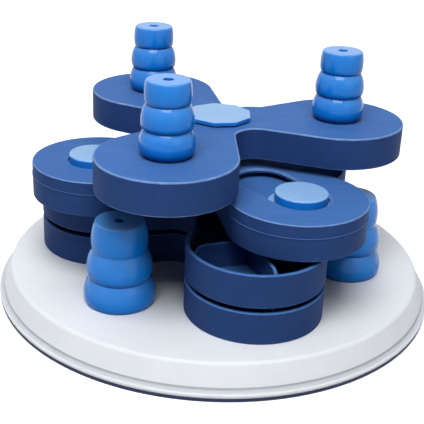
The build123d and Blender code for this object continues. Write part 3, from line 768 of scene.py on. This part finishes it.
base_shell()
grip_ring()
tray("lower_tray", "base", LOWER_TRAY_Z, LOWER_TRAY_TOP, MIDDLE_TRAY_Z - HUB_SHORT, True)
tray("middle_tray", "middle_tray", MIDDLE_TRAY_Z, MIDDLE_TRAY_TOP, SLIDER_Z - HUB_SHORT, False)
slider_body()
slider_lid()
top_plate()
badge_cap()
for number, turn in enumerate(LOBE_TURNS):
    knob(number)
    cone(f"top_cone_{number + 1}", TOP_TURN + turn, **TOP_CONE)
    cone(f"base_cone_{number + 1}", CONE_TURN + turn, **BASE_CONE)

# CAD nodes whose shape is right keep it and get the finished materials
KEPT = ((NAVY, ("slider_floor", "top_floor", "spindle")),
        (WHITE, ("bottom_cover",)),
        (NATURAL, ("lower_washer", "middle_washer", "upper_washer")),
        (STEEL, ("cover_screws", "tray_screws", "spindle_screws", "lid_screws", "top_screws",
                 "hub_screw", "hub_washer")))
for material, names in KEPT:
    for name in names:
        frame["nodes"][name].data.materials.clear()
        frame["nodes"][name].data.materials.append(material)


# ---- floor, light and camera, in metres -----------------------------------------------------

FLOOR_HALF = 3.0
PAPER_COLOUR = (0.60, 0.60, 0.61)
PAPER_NEAR, PAPER_FAR, PAPER_GLOW = 0.15, 0.8, 0.6

# The world's light comes from round this direction; the dot product with it at which the light
# begins to grow, and its strength outside and at the middle
SKY_WAY, SKY_EDGE = (-0.25, 0.50, 0.83), 0.45
SKY_STRENGTHS = (0.05, 1.05)
SKY_COLOUR = (0.96, 0.98, 1.0)

# Softboxes: name, place, the point that it faces, size and power in watts
SOFTBOXES = (("overhead", (-0.05, -0.43, 0.84), (0, 0, 0.05), (0.55, 0.55), 9.2),
             ("left_panel", (-0.95, -0.55, 0.30), (0, 0, 0.03), (0.6, 0.4), 0.35),
             ("right_panel", (0.75, -0.85, 0.45), (0, 0, 0.05), (0.7, 0.5), 1.3),
             ("back_panel", (-0.1, 1.3, 0.75), (0, 0, 0.08), (1.4, 0.8), 0.6))

CAMERA_DISTANCE = 0.48478
CAMERA_RISE = radians(28.126)
CAMERA_ROLL = radians(1.72)
CAMERA_AIM = Vector((-0.01591, 0.0, 0.04335))
SENSOR_MM, LENS_MM = 36.0, 77.4
LENS_SHIFT = (0.0657, -0.0229)
CLIP_START = 0.01


def backdrop_rays(tree):
    """1 for the rays that see the backdrop: from the camera, in gloss or through glass."""
    path = node(tree, "ShaderNodeLightPath")
    seen = path.outputs["Is Camera Ray"]
    for kind in ("Is Glossy Ray", "Is Transmission Ray"):
        seen = maths(tree, "MAXIMUM", seen, path.outputs[kind])
    return seen


def studio_white(name, colour, near, far, glow):
    """Pale paper that keeps the object's shadow and looks white where none falls on it.

    The glow that the camera sees grows to plain white between two distances from the object.
    """
    material, tree = empty_material(name)
    out = node(tree, "ShaderNodeOutputMaterial")
    both = node(tree, "ShaderNodeAddShader")
    matt = node(tree, "ShaderNodeBsdfDiffuse")
    matt.inputs["Color"].default_value = (*colour, 1)
    lit = node(tree, "ShaderNodeEmission")
    place = node(tree, "ShaderNodeTexCoord")
    away = node(tree, "ShaderNodeVectorMath", operation="LENGTH")
    tree.links.new(place.outputs["Object"], away.inputs[0])
    growing = remap(tree, away.outputs["Value"], (near, far), (glow, 1.0))
    tree.links.new(maths(tree, "MULTIPLY", growing, backdrop_rays(tree)), lit.inputs["Strength"])
    tree.links.new(matt.outputs[0], both.inputs[0])
    tree.links.new(lit.outputs[0], both.inputs[1])
    tree.links.new(both.outputs[0], out.inputs[0])
    return material


def floor(half):
    """A square floor of pale paper, with its half side given."""
    mesh = bpy.data.meshes.new("floor")
    mesh.from_pydata([(-half, -half, 0), (half, -half, 0), (half, half, 0), (-half, half, 0)], [],
                     [(0, 1, 2, 3)])
    obj = bpy.data.objects.new("floor", mesh)
    bpy.context.scene.collection.objects.link(obj)
    mesh.materials.append(studio_white("floor_paper", PAPER_COLOUR, PAPER_NEAR, PAPER_FAR,
                                       PAPER_GLOW))


def world():
    """Soft light, strongest from above and behind, that looks plain white as a backdrop."""
    sky = bpy.data.worlds.new("studio")
    bpy.context.scene.world = sky
    sky.use_nodes = True
    tree = sky.node_tree
    tree.nodes.clear()
    out = node(tree, "ShaderNodeOutputWorld")
    soft = node(tree, "ShaderNodeBackground")
    soft.inputs["Color"].default_value = (*SKY_COLOUR, 1)
    way = node(tree, "ShaderNodeTexCoord")
    lean = node(tree, "ShaderNodeVectorMath", operation="DOT_PRODUCT")
    lean.inputs[1].default_value = SKY_WAY
    tree.links.new(way.outputs["Generated"], lean.inputs[0])
    tree.links.new(remap(tree, lean.outputs["Value"], (SKY_EDGE, 1.0), SKY_STRENGTHS),
                   soft.inputs["Strength"])
    plain = node(tree, "ShaderNodeBackground")
    plain.inputs["Color"].default_value = (1, 1, 1, 1)
    switch = node(tree, "ShaderNodeMixShader")
    tree.links.new(backdrop_rays(tree), switch.inputs[0])
    tree.links.new(soft.outputs[0], switch.inputs[1])
    tree.links.new(plain.outputs[0], switch.inputs[2])
    tree.links.new(switch.outputs[0], out.inputs[0])


def area(name, place, aim, size, power):
    """A rectangular softbox at a place, facing a point."""
    data = bpy.data.lights.new(name, "AREA")
    data.shape = "RECTANGLE"
    data.size, data.size_y = size
    data.energy = power
    obj = bpy.data.objects.new(name, data)
    obj.location = place
    obj.rotation_mode = "QUATERNION"
    obj.rotation_quaternion = (Vector(aim) - Vector(place)).to_track_quat("-Z", "Y")
    bpy.context.scene.collection.objects.link(obj)


floor(FLOOR_HALF)
world()
for softbox in SOFTBOXES:
    area(*softbox)

# The camera, from the photograph's viewing angle
eye = Vector((0.0, -CAMERA_DISTANCE * cos(CAMERA_RISE), CAMERA_DISTANCE * sin(CAMERA_RISE)))
ahead = (CAMERA_AIM - eye).normalized()
level = ahead.cross(Vector((0, 0, 1))).normalized()
above = level.cross(ahead)
right = level * cos(CAMERA_ROLL) + above * sin(CAMERA_ROLL)
top = above * cos(CAMERA_ROLL) - level * sin(CAMERA_ROLL)
lens = bpy.data.cameras.new("camera")
lens.sensor_width = SENSOR_MM
lens.lens = LENS_MM
lens.shift_x, lens.shift_y = LENS_SHIFT
lens.clip_start = CLIP_START
camera = bpy.data.objects.new("camera", lens)
camera.matrix_world = Matrix(((right.x, top.x, -ahead.x, eye.x), (right.y, top.y, -ahead.y, eye.y),
                              (right.z, top.z, -ahead.z, eye.z), (0, 0, 0, 1)))
bpy.context.scene.collection.objects.link(camera)
bpy.context.scene.camera = camera
bpy.context.scene.view_settings.view_transform = "Standard"

bpy.context.view_layer.update()
